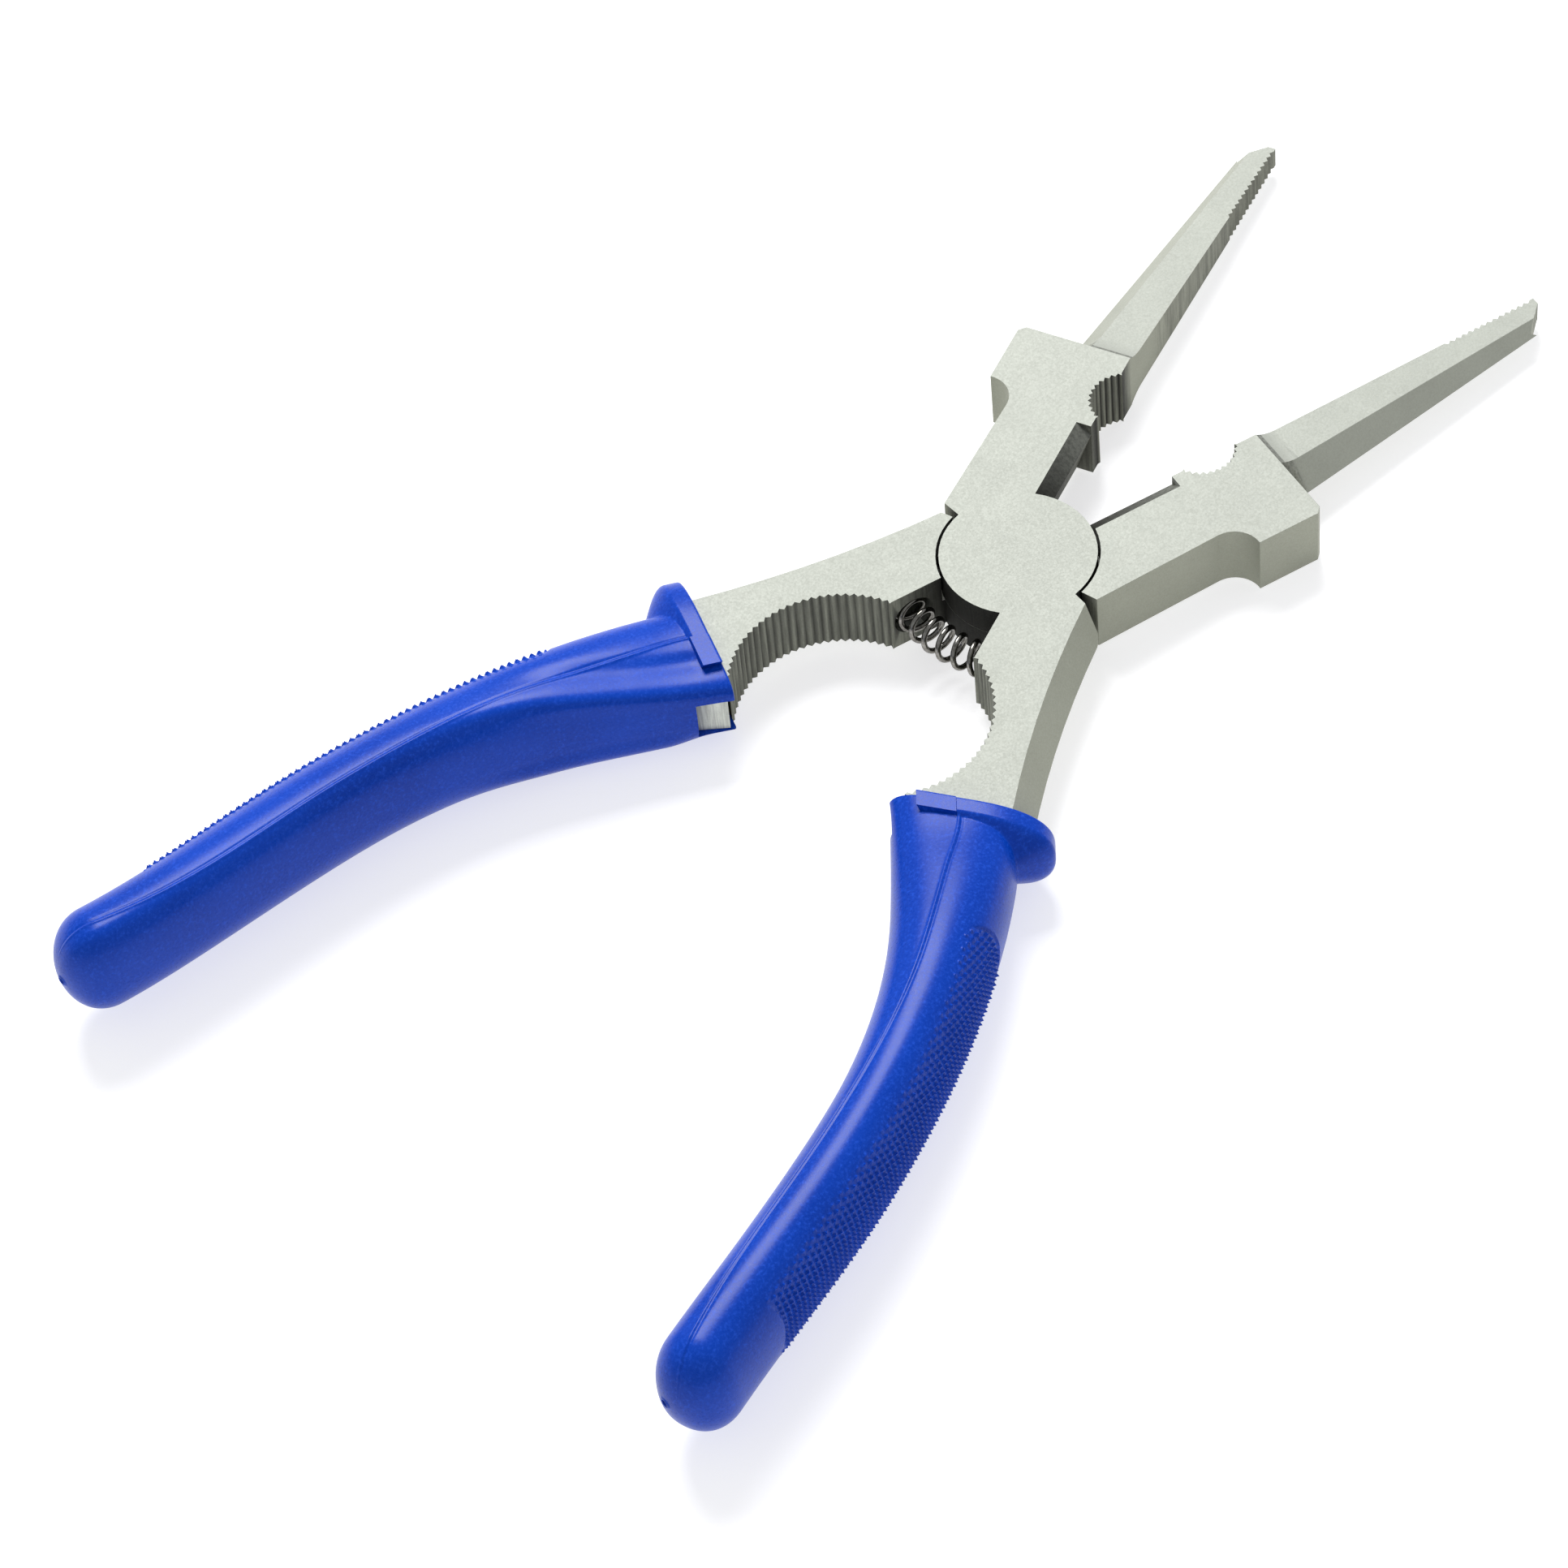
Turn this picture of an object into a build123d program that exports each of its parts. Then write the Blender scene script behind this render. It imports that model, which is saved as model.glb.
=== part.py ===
"""Spring-loaded welding pliers: two lapped forgings on one rivet, a coil return spring and two grips.

Every lever is drawn in its own closing frame. The pivot is at the origin, the jaw points along +X
above the line y = 0 where it meets the other jaw, and the handle runs along -X below that line.
The upper lever is then turned open about the pivot. The lower lever is the mirror image, turned the
other way. Z = 0 is the underside of the joint and the pivot axis is the Z axis. Units are mm.
"""

from build123d import *

import os
from math import atan2, cos, degrees, radians, sin

# ---- the joint -------------------------------------------------------------------------------
THICKNESS = 9.3          # both laps together, and the jaws and handles beside them
MID = THICKNESS / 2
DISC_RADIUS = 10.5       # round lap of each lever
DISC_GAP = 0.4           # slit between a lap and the other lever's jaw or handle
LAP_GAP = 0.06           # between the two lap faces
HALF_OPEN = 17.1         # each jaw's angle from the centre line when the spring holds them open
RIVET_RADIUS = 3.5
RIVET_HEAD_RADIUS = 4.6
RIVET_HEAD_DEPTH = 1.2   # countersunk, ground flush with the lap
RUNNING_CLEARANCE = 0.05

# ---- the jaw ---------------------------------------------------------------------------------
NOSE_TIP_X = 83.4
NOSE_ROOT_X = 37.3       # front face of the hammer block
TOE_IN = 2.0             # the nose leans in by this at its tip, so the tips meet first
BLOCK_BACK_X = 27.3
BLOCK_TOP_Y = 16.2
BLOCK_BEVEL = 0.9
JAW_BACK_Y = 12.1        # outer edge of the jaw between the block and the shoulder
NOTCH_CENTRE_X = 30.0
NOTCH_HALF_CHORD = 4.35
NOTCH_DEPTH = 2.65
NOTCH_TEETH = 11
LAND_X = 24.0            # back of the narrow land between the notch and the cutter
CUTTER_RECESS = 2.1      # how far the cutter's bevel sets the top edge back
CUTTER_EDGE_Z = 7.7
CUTTER_UNDERCUT = 2.4
JAW_SHOULDER = ((3.1, 9.9), (4.3, 12.6))

# ---- the nose: an inner flat, a top and bottom face, and a bevel to a mid-height outer edge ----
ROOT_HALF_HEIGHT = 3.6
TIP_HALF_HEIGHT = 1.6
ROOT_TOP_WIDTH = 6.0
TIP_TOP_WIDTH = 2.9
ROOT_MID_WIDTH = 9.4
TIP_MID_WIDTH = 4.3
RAMP_LENGTH = 3.0        # hollow ramp from the block's faces down to the nose's
RAMP_STEPS = 4
NOSE_TEETH = 14
NOSE_TOOTH_PITCH = 1.03
NOSE_TOOTH_DEPTH = 0.42

# ---- the handle ------------------------------------------------------------------------------
HANDLE_SHOULDER = ((-3.7, -9.8), (-5.9, -13.9))
HANDLE_OUTER = ((-7.3, -14.4), (-24.0, -16.2), (-43.5, -20.6))
INNER_WALL_Y = -2.0      # flat wall that the spring presses on
INNER_WALL_END_X = -18.4
NOZZLE_CENTRE = (-30.8, 5.45)
NOZZLE_RADIUS = 14.7     # serrated hollow that grips a welding nozzle
NOZZLE_TEETH = 27
NOZZLE_END_ANGLE = 208.4
TOOTH_DEPTH = 0.45
HANDLE_BEVEL_RUN = 2.6
HANDLE_BEVEL_DROP = 4.5
SEAT_X = -15.1           # blind hole for the spring's end
SEAT_RADIUS = 2.95
SEAT_DEPTH = 2.6
TANG_LOW = 0.55          # the part inside the grip is thinner, with a step at the grip's mouth
TANG_HIGH = 8.0
TANG_ROOT = (
    (-39.0, -15.8), (-46.0, -16.2), (-58.0, -17.4), (-58.0, -11.2), (-51.0, -6.4),
    (-47.6, -4.1), (-43.5, -1.9), (-42.3, -4.6), (-39.0, -10.0),
)
TANG_HALF_WIDTH = 3.5
TANG_SPAN = (0.16, 0.86)  # shares of the grip's centre line

# ---- the grip --------------------------------------------------------------------------------
CENTRE_LINES = {         # mouth, corner and butt; the lower handle is bent a little less than the upper
    "upper": ((-41.5, -9.3), (-77.7, -21.6), (-136.6, -15.5)),
    "lower": ((-41.5, -9.1), (-69.5, -17.4), (-136.8, -11.7)),
}
BEND_RADIUS = 100.0      # rounds the corner
MOUTH_TILT = 10.0        # the grip's front face leans back towards the inner side
GRIP_HALF_HEIGHT = 8.2
MOUTH_HALF_HEIGHT = 6.2
MOUTH_HALF_WIDTH = 9.0
GRIP_STATIONS = (        # distance along the centre line, half height, half width
    (14.0, 7.3, 7.7), (28.0, 8.0, 6.8), (48.0, 8.2, 5.9), (70.0, 8.2, 5.8),
)
BUTT_HALF_WIDTH = 5.7
BUTT_ROUNDING = 6.0      # length of the rounded end
COLLAR_WIDTH = 2.8       # flange that stops the hand
COLLAR_HALF_SPAN = 11.5
COLLAR_HALF_HEIGHT = 7.0
COLLAR_OFFSET = -3.1     # the collar stands further out on the outer side
COLLAR_DROP = 0.6        # and a little lower
SLOT_LENGTH = 5.2        # open slot between the grip's two inner lips
SLOT_HIGH = 7.3
SLOT_DEPTH = 3.6
KEY_LENGTH = 2.8         # raised block on the collar's top
KEY_WIDTH = 5.2
KEY_RISE = 1.3
KEY_TOP = 6.6            # above the grip's middle
KEY_INSET = 0.2
KEY_OFFSET = 1.9         # towards the inner side

# ---- the spring ------------------------------------------------------------------------------
COIL_RADIUS = 2.1        # to the middle of the wire
WIRE_RADIUS = 0.38
COIL_TURNS = 6.5
COIL_X = -13.7
COIL_HALF_LENGTH = 7.3


def toothed_arc(centre, radius, start, end, teeth, depth):
    """Points of an arc with V-shaped teeth; the valleys reach depth beyond the radius."""
    points = []
    for step in range(2 * teeth + 1):
        angle = radians(start + (end - start) * step / (2 * teeth))
        reach = radius + (depth if step % 2 else 0.0)
        points.append((centre[0] + reach * cos(angle), centre[1] + reach * sin(angle)))
    return points


def nose_face_y(x):
    """The nose's inner face leans in from the block to the tip."""
    return -TOE_IN * (x - NOSE_ROOT_X) / (NOSE_TIP_X - NOSE_ROOT_X)


def jaw_plate():
    """Jaw at full thickness: shoulder, outer edge, hammer block, serrated notch, land and cutter."""
    notch_radius = (NOTCH_HALF_CHORD**2 + NOTCH_DEPTH**2) / (2 * NOTCH_DEPTH)
    notch_centre = (NOTCH_CENTRE_X, NOTCH_DEPTH - notch_radius)
    notch_angle = degrees(atan2(-notch_centre[1], NOTCH_HALF_CHORD))
    notch = toothed_arc(
        notch_centre, notch_radius - TOOTH_DEPTH, notch_angle, 180 - notch_angle, NOTCH_TEETH, TOOTH_DEPTH
    )
    back_start = (BLOCK_BACK_X - 3.8, JAW_BACK_Y)
    back_end = (BLOCK_BACK_X, BLOCK_TOP_Y)
    with BuildPart() as jaw:
        with BuildSketch():
            with BuildLine():
                Polyline((0, 0), JAW_SHOULDER[0], JAW_SHOULDER[1], back_start)
                TangentArc(back_start, back_end, tangent=(1, 0))
                Polyline(
                    back_end,
                    (NOSE_ROOT_X - BLOCK_BEVEL, BLOCK_TOP_Y),
                    (NOSE_ROOT_X, BLOCK_TOP_Y - BLOCK_BEVEL),
                    (NOSE_ROOT_X, 0),
                    (NOTCH_CENTRE_X + NOTCH_HALF_CHORD, 0),
                    *notch,
                    (NOTCH_CENTRE_X - NOTCH_HALF_CHORD, 0),
                    (0, 0),
                )
            make_face()
        extrude(amount=THICKNESS)
        with BuildSketch(Plane.YZ) as bevels:
            with BuildLine():
                Polyline(
                    (-1, THICKNESS), (CUTTER_RECESS, THICKNESS), (0, CUTTER_EDGE_Z),
                    (CUTTER_UNDERCUT, 0), (-1, 0), close=True,
                )
            make_face()
        extrude(amount=LAND_X, mode=Mode.SUBTRACT)
    return jaw.part


def nose():
    """Long tapering nose, hollowed at its root and clipped at its tip, with teeth across its inner face."""
    ramp = [RAMP_LENGTH * step / RAMP_STEPS for step in range(RAMP_STEPS + 1)]
    length = NOSE_TIP_X - NOSE_ROOT_X
    with BuildPart() as blade:
        for along in ramp + [length]:
            share = along / length
            rise = max(0.0, 1 - along / RAMP_LENGTH) ** 2
            half = ROOT_HALF_HEIGHT + (TIP_HALF_HEIGHT - ROOT_HALF_HEIGHT) * share
            half += (MID - ROOT_HALF_HEIGHT) * rise * 0.9
            inner = nose_face_y(NOSE_ROOT_X + along)
            top = inner + ROOT_TOP_WIDTH + (TIP_TOP_WIDTH - ROOT_TOP_WIDTH) * share
            outer = inner + ROOT_MID_WIDTH + (TIP_MID_WIDTH - ROOT_MID_WIDTH) * share
            with BuildSketch(Plane.YZ.offset(NOSE_ROOT_X + along)):
                with BuildLine():
                    Polyline(
                        (inner, MID - half), (top, MID - half), (outer, MID),
                        (top, MID + half), (inner, MID + half), close=True,
                    )
                make_face()
        loft(ruled=True)
        tip = nose_face_y(NOSE_TIP_X)
        with BuildSketch():
            with BuildLine():
                Polyline(
                    (NOSE_TIP_X + 1, tip + 0.6), (NOSE_TIP_X - 0.1, tip + 1.2),
                    (NOSE_TIP_X - 3.4, tip + 4.4), (NOSE_TIP_X + 1, tip + 6), close=True,
                )
            make_face()
            for tooth in range(NOSE_TEETH):
                x = NOSE_TIP_X - 0.6 - NOSE_TOOTH_PITCH * tooth
                with BuildLine():
                    Polyline(
                        (x, nose_face_y(x) - 0.02), (x - NOSE_TOOTH_PITCH, nose_face_y(x) - 0.02),
                        (x - NOSE_TOOTH_PITCH / 2, nose_face_y(x) + NOSE_TOOTH_DEPTH), close=True,
                    )
                make_face()
        extrude(amount=THICKNESS, mode=Mode.SUBTRACT)
    return blade.part


def centre_line(side):
    """Centre line of the grip and of the tang inside it: straight, a wide bend, straight."""
    with BuildLine() as line:
        FilletPolyline(*CENTRE_LINES[side], radius=BEND_RADIUS)
    return line.wire()


def mouth_plane(side):
    """Plane of the grip's front face; its first axis points up, its second to the inner side."""
    mouth = CENTRE_LINES[side][0]
    direction = (-cos(radians(MOUTH_TILT)), -sin(radians(MOUTH_TILT)), 0)
    return Plane(origin=(*mouth, MID), x_dir=(0, 0, 1), z_dir=direction)


def handle_plate(side):
    """Handle at full thickness from the shoulder to the grip's mouth, bevelled along its outer edge."""
    wall_end = (INNER_WALL_END_X, INNER_WALL_Y)
    start = degrees(atan2(wall_end[1] - NOZZLE_CENTRE[1], wall_end[0] - NOZZLE_CENTRE[0]))
    hollow = toothed_arc(
        NOZZLE_CENTRE, NOZZLE_RADIUS - TOOTH_DEPTH, start, NOZZLE_END_ANGLE - 360, NOZZLE_TEETH, TOOTH_DEPTH
    )
    with BuildPart() as handle:
        with BuildSketch():
            with BuildLine():
                Polyline((0, INNER_WALL_Y), HANDLE_SHOULDER[0], HANDLE_SHOULDER[1], HANDLE_OUTER[0])
                ThreePointArc(*HANDLE_OUTER)
                Polyline(HANDLE_OUTER[2], (-47, -1.2), *reversed(hollow), wall_end, (0, INNER_WALL_Y))
            make_face()
        extrude(amount=THICKNESS)
        outer = handle.faces().filter_by(GeomType.CYLINDER).sort_by(SortBy.AREA)[-1].edges()
        rims = outer.filter_by(Plane.XY)
        chamfer(rims, length=HANDLE_BEVEL_DROP, length2=HANDLE_BEVEL_RUN)
        split(bisect_by=mouth_plane(side), keep=Keep.BOTTOM)
    return handle.part


def tang(side):
    """The thinner steel inside the grip: a wide root at the mouth that narrows to a bar."""
    with BuildPart() as bar:
        with BuildSketch(Plane.XY.offset(TANG_LOW)):
            with BuildLine():
                Polyline(*TANG_ROOT, close=True)
            make_face()
            trace(centre_line(side).trim(*TANG_SPAN), line_width=2 * TANG_HALF_WIDTH)
        extrude(amount=TANG_HIGH - TANG_LOW)
    return bar.part


def rivet_shape(clearance):
    """Straight shank with a countersunk lower end, grown by the clearance."""
    on_base = (Align.CENTER, Align.CENTER, Align.MIN)
    with BuildPart() as shape:
        Cylinder(RIVET_RADIUS + clearance, THICKNESS, align=on_base)
        Cone(RIVET_HEAD_RADIUS + clearance, RIVET_RADIUS + clearance, RIVET_HEAD_DEPTH, align=on_base)
    return shape.part


def forging(side, lap_low, lap_high, bore_clearance):
    """One lever in its closing frame; its round lap fills the heights from lap_low to lap_high."""
    with BuildPart() as lever:
        add(jaw_plate())
        add(handle_plate(side))
        room_low = 0.0 if lap_low > 0 else lap_high
        with BuildSketch(Plane.XY.offset(room_low)):
            Circle(DISC_RADIUS + DISC_GAP)
        extrude(amount=THICKNESS - (lap_high - lap_low), mode=Mode.SUBTRACT)
        with BuildSketch(Plane.XY.offset(lap_low)):
            Circle(DISC_RADIUS)
        extrude(amount=lap_high - lap_low)
        add(nose())
        add(tang(side))
        seat = Plane(origin=(SEAT_X, INNER_WALL_Y, MID), x_dir=(1, 0, 0), z_dir=(0, -1, 0))
        with BuildSketch(seat):
            Circle(SEAT_RADIUS)
        extrude(amount=SEAT_DEPTH, mode=Mode.SUBTRACT)
        add(rivet_shape(bore_clearance), mode=Mode.SUBTRACT)
    return lever.part


def across(line, along):
    """Plane square to the grip's centre line; its first axis points up, its second to the inner side."""
    share = along / line.length
    return Plane(origin=(line @ share) + Vector(0, 0, MID), x_dir=(0, 0, 1), z_dir=line % share)


def grip_shape(side):
    """Moulded grip round the tang: collar, oval body, round butt, and a slot between two inner lips."""
    line = centre_line(side)
    mouth = mouth_plane(side)
    butt = across(line, line.length - BUTT_ROUNDING)
    ball = scale(Solid.make_sphere(1, angle1=-90), by=(GRIP_HALF_HEIGHT, BUTT_HALF_WIDTH, BUTT_ROUNDING))
    butt_end = ball.moved(butt.location)
    with BuildPart() as grip:
        with BuildSketch(mouth):
            Ellipse(MOUTH_HALF_HEIGHT, MOUTH_HALF_WIDTH)
        for along, half_height, half_width in GRIP_STATIONS:
            with BuildSketch(across(line, along)):
                Ellipse(half_height, half_width)
        with BuildSketch(butt):
            Ellipse(GRIP_HALF_HEIGHT, BUTT_HALF_WIDTH)
        loft()
        add(butt_end, mode=Mode.ADD)
        with BuildSketch(mouth):
            with Locations((-COLLAR_DROP, COLLAR_OFFSET)):
                Ellipse(COLLAR_HALF_HEIGHT, COLLAR_HALF_SPAN)
        extrude(amount=COLLAR_WIDTH)
        with BuildSketch(mouth.offset(KEY_INSET)):
            with Locations((KEY_TOP - KEY_RISE, KEY_OFFSET)):
                Rectangle(2 * KEY_RISE, KEY_WIDTH)
        extrude(amount=KEY_LENGTH)
        add(tang(side), mode=Mode.SUBTRACT)
        with BuildSketch(mouth):
            with Locations(((SLOT_HIGH + TANG_LOW) / 2 - MID, MOUTH_HALF_WIDTH)):
                Rectangle(SLOT_HIGH - TANG_LOW, 2 * SLOT_DEPTH)
        extrude(amount=SLOT_LENGTH, mode=Mode.SUBTRACT)
    return grip.part


def opened(shape, side):
    """Turn a shape from its closing frame to where the spring holds that lever."""
    if side == "upper":
        return shape.rotate(Axis.Z, HALF_OPEN)
    return shape.mirror(Plane.XZ).rotate(Axis.Z, -HALF_OPEN)


os.makedirs("parts", exist_ok=True)

upper_steel = opened(forging("upper", MID + LAP_GAP / 2, THICKNESS, 0.0), "upper")
lower_steel = opened(forging("lower", 0.0, MID - LAP_GAP / 2, RUNNING_CLEARANCE), "lower")
upper_handle_cover = opened(grip_shape("upper"), "upper")
lower_handle_cover = opened(grip_shape("lower"), "lower")

# ---- the two levers --------------------------------------------------------------------------
with BuildPart() as upper_lever_forging:
    add(upper_steel)
upper_lever_forging.part.label = "upper_lever_forging"
export_step(upper_lever_forging.part, "parts/upper_lever_forging.step")

with BuildPart() as lower_lever_forging:
    add(lower_steel)
lower_lever_forging.part.label = "lower_lever_forging"
export_step(lower_lever_forging.part, "parts/lower_lever_forging.step")

# ---- the rivet, tight in the upper lap and free to turn in the lower -------------------------
with BuildPart() as pivot_rivet:
    add(rivet_shape(0.0))
pivot_rivet.part.label = "pivot_rivet"
export_step(pivot_rivet.part, "parts/pivot_rivet.step")

# ---- the spring, with its ends in the two blind seats ----------------------------------------
with BuildPart() as return_spring:
    with BuildLine() as coil:
        Helix(
            pitch=2 * COIL_HALF_LENGTH / COIL_TURNS,
            height=2 * COIL_HALF_LENGTH,
            radius=COIL_RADIUS,
            center=(COIL_X, -COIL_HALF_LENGTH, MID),
            direction=(0, 1, 0),
        )
    with BuildSketch(Plane(origin=coil.line @ 0, z_dir=coil.line % 0)):
        Circle(WIRE_RADIUS)
    sweep(is_frenet=True)
return_spring.part.label = "return_spring"
export_step(return_spring.part, "parts/return_spring.step")

# ---- the grips -------------------------------------------------------------------------------
with BuildPart() as upper_lever_grip:
    add(upper_handle_cover)
upper_lever_grip.part.label = "upper_lever_grip"
export_step(upper_lever_grip.part, "parts/upper_lever_grip.step")

with BuildPart() as lower_lever_grip:
    add(lower_handle_cover)
lower_lever_grip.part.label = "lower_lever_grip"
export_step(lower_lever_grip.part, "parts/lower_lever_grip.step")
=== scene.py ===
"""Looks for the spring-loaded welding pliers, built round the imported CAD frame. Units are metres.

Shapes are worked out in millimetres. Every lever is described in its closing frame, as in the CAD:
the pivot is at the origin, the jaw points along +X and the handle runs along -X. The upper lever is
then turned open about the pivot, and the lower lever is mirrored and turned the other way.
"""

import math

import bmesh
import bpy
import numpy as np
from mathutils import Matrix, Vector


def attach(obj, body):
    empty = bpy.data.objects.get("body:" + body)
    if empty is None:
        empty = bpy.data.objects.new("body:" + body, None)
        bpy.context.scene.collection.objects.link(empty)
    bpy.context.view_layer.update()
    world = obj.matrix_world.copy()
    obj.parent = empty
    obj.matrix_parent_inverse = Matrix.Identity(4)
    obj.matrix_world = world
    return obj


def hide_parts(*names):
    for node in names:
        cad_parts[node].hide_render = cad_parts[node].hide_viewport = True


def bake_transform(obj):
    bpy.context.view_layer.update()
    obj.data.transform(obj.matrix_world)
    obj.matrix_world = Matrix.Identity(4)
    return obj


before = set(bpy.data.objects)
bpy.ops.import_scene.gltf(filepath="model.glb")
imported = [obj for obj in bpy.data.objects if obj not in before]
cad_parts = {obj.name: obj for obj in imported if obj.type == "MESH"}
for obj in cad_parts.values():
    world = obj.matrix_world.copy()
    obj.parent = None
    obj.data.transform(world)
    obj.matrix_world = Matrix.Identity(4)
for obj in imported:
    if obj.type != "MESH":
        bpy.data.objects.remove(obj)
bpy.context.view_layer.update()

MM = 0.001
MID = 4.65                      # mid-height of the joint
HALF_OPEN = math.radians(17.1)  # each lever's angle at rest from its closing frame

# ---- curves and places -----------------------------------------------------------------------
SEARCH_STEPS = 44               # halvings, and the largest radius searched, for an oval's radius
SEARCH_RADIUS = 40.0


def spread(points, x):
    """Smooth interpolation through (x, value) pairs."""
    xs = np.array([p[0] for p in points], float)
    ys = np.array([p[1] for p in points], float)
    slopes = np.gradient(ys, xs)
    x = np.clip(np.asarray(x, float), xs[0], xs[-1])
    i = np.clip(np.searchsorted(xs, x) - 1, 0, len(xs) - 2)
    h = xs[i + 1] - xs[i]
    t = (x - xs[i]) / h
    return (
        ys[i] * (1 + 2 * t) * (1 - t) ** 2
        + slopes[i] * h * t * (1 - t) ** 2
        + ys[i + 1] * t * t * (3 - 2 * t)
        + slopes[i + 1] * h * t * t * (t - 1)
    )


def smooth(low, high, x):
    """A soft step from 0 at low to 1 at high."""
    t = np.clip((x - low) / (high - low), 0, 1)
    return t * t * (3 - 2 * t)


def oval_radius(angle, centre, half_span, top, bottom, power):
    """Distance from the origin to a squared oval shifted sideways, in each direction."""
    low = np.zeros_like(angle)
    high = np.full_like(angle, SEARCH_RADIUS)
    height = np.where(np.sin(angle) > 0, top, bottom)
    for _ in range(SEARCH_STEPS):
        r = (low + high) / 2
        sideways = np.abs((r * np.cos(angle) - centre) / half_span)
        upwards = np.abs(r * np.sin(angle) / height)
        inside = sideways**power + upwards**power < 1
        low = np.where(inside, r, low)
        high = np.where(inside, high, r)
    return low


def leaning_radius(angle, crest, half_width, height, power):
    """The same for a squared oval whose high line is shifted sideways between fixed sides."""
    low = np.zeros_like(angle)
    high = np.full_like(angle, SEARCH_RADIUS)
    for _ in range(SEARCH_STEPS):
        r = (low + high) / 2
        off = r * np.cos(angle) - crest
        span = np.where(off > 0, half_width - crest, half_width + crest)
        inside = np.abs(off / span) ** power + np.abs(r * np.sin(angle) / height) ** power < 1
        low = np.where(inside, r, low)
        high = np.where(inside, high, r)
    return low


def to_rest(points, side):
    """Closing frame in mm to the row frame in metres."""
    points = np.array(points, float)
    sign = 1 if side == "upper" else -1
    x, y = points[..., 0], points[..., 1]
    c, s = math.cos(HALF_OPEN), math.sin(HALF_OPEN)
    out = np.empty_like(points)
    out[..., 0] = x * c - y * s
    out[..., 1] = sign * (x * s + y * c)
    out[..., 2] = points[..., 2]
    return out * MM


def to_closing(point, side):
    """Row frame in metres to the closing frame in mm."""
    sign = 1 if side == "upper" else -1
    c, s = math.cos(HALF_OPEN), math.sin(HALF_OPEN)
    x, y = point[0] / MM, sign * point[1] / MM
    return x * c + y * s, -x * s + y * c, point[2] / MM


# ---- meshes ----------------------------------------------------------------------------------
MERGE_DISTANCE = 2e-6


def new_object(name, verts, faces, material):
    mesh = bpy.data.meshes.new(name)
    mesh.from_pydata([tuple(v) for v in verts], [], faces)
    mesh.update()
    mesh.materials.append(material)
    obj = bpy.data.objects.new(name, mesh)
    bpy.context.scene.collection.objects.link(obj)
    return obj


def tube_faces(rows, columns):
    """Faces between rings of points, with a cap on the first and the last ring."""
    faces = []
    for i in range(rows - 1):
        base = i * columns
        for j in range(columns):
            k = (j + 1) % columns
            faces.append((base + j, base + k, base + columns + k, base + columns + j))
    faces.append(tuple(range(columns))[::-1])
    faces.append(tuple((rows - 1) * columns + j for j in range(columns)))
    return faces


def close_up(mesh):
    """Joins points that coincide and turns every face outwards."""
    bm = bmesh.new()
    bm.from_mesh(mesh)
    bmesh.ops.remove_doubles(bm, verts=bm.verts, dist=MERGE_DISTANCE)
    bmesh.ops.recalc_face_normals(bm, faces=bm.faces)
    bm.to_mesh(mesh)
    bm.free()


def smooth_but_sharp(mesh, degrees):
    """Smooth shading, with the edges that turn by more than this kept sharp."""
    mesh.shade_smooth()
    mesh.set_sharp_from_angle(angle=math.radians(degrees))


# ---- materials -------------------------------------------------------------------------------
STEEL_SIDES = (0.385, 0.395, 0.325)
STEEL_FLATS = (0.45, 0.465, 0.42)
STEEL_MACHINED = (0.80, 0.82, 0.73)
STEEL_IN_SHADE = (0.02, 0.02, 0.016)
STEEL_SPECK = (0.62, 0.62, 0.55)
WHITE = (1, 1, 1)
SPECKS = 0.13                   # strength of the small specks
PATCHES = 0.14                  # strength of the broad patches
STREAKS = 0.8                   # strength of the upright marks on the machined walls
STREAK_STRETCH = (1.0, 1.0, 0.05)
WIRE_DARK = (0.13, 0.125, 0.11)
WIRE_LIGHT = (0.28, 0.27, 0.25)
BLUE_DARK = (0.0005, 0.038, 0.36)
BLUE_LIGHT = (0.0005, 0.048, 0.43)
BLUE_SPECK = (0.012, 0.08, 0.58)
PAPER_DARK = (0.54, 0.54, 0.545)
PAPER_LIGHT = (0.56, 0.56, 0.565)
PAPER_GLOW = (1.0, 0.995, 1.0)
FLOOR_GLOW = 0.63               # lifts the shadows, as a light table does


def plug(tree, socket, value):
    """Sets a socket, or links it where the value is a (node, output) pair."""
    if isinstance(value, tuple) and isinstance(value[0], bpy.types.Node):
        tree.links.new(value[0].outputs[value[1]], socket)
    elif socket.type == "RGBA":
        socket.default_value = (*value, 1)
    else:
        socket.default_value = value


def fill(tree, node, **values):
    """Plugs a node's sockets by name, with underscores for spaces."""
    for name, value in values.items():
        plug(tree, node.inputs[name.replace("_", " ")], value)


def add_node(tree, kind, **values):
    node = tree.nodes.new(kind)
    fill(tree, node, **values)
    return node


def arithmetic(tree, operation, *values):
    node = tree.nodes.new("ShaderNodeMath")
    node.operation = operation
    for socket, value in zip(node.inputs, values):
        plug(tree, socket, value)
    return node, 0


def mixed(tree, factor, first, second, blend="MIX"):
    """A colour between the first and the second, or the first multiplied by the second."""
    mix = tree.nodes.new("ShaderNodeMix")
    mix.data_type = "RGBA"
    mix.blend_type = blend
    for index, value in ((0, factor), (6, first), (7, second)):
        plug(tree, mix.inputs[index], value)
    return mix, 2


def ramp(tree, factor, *stops):
    """Grey ramp over the stops, given as (position, value)."""
    node = tree.nodes.new("ShaderNodeValToRGB")
    plug(tree, node.inputs[0], factor)
    while len(node.color_ramp.elements) < len(stops):
        node.color_ramp.elements.new(0.5)
    for element, (position, value) in zip(node.color_ramp.elements, stops):
        element.position = position
        element.color = (value, value, value, 1)
    return node, 0


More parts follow.
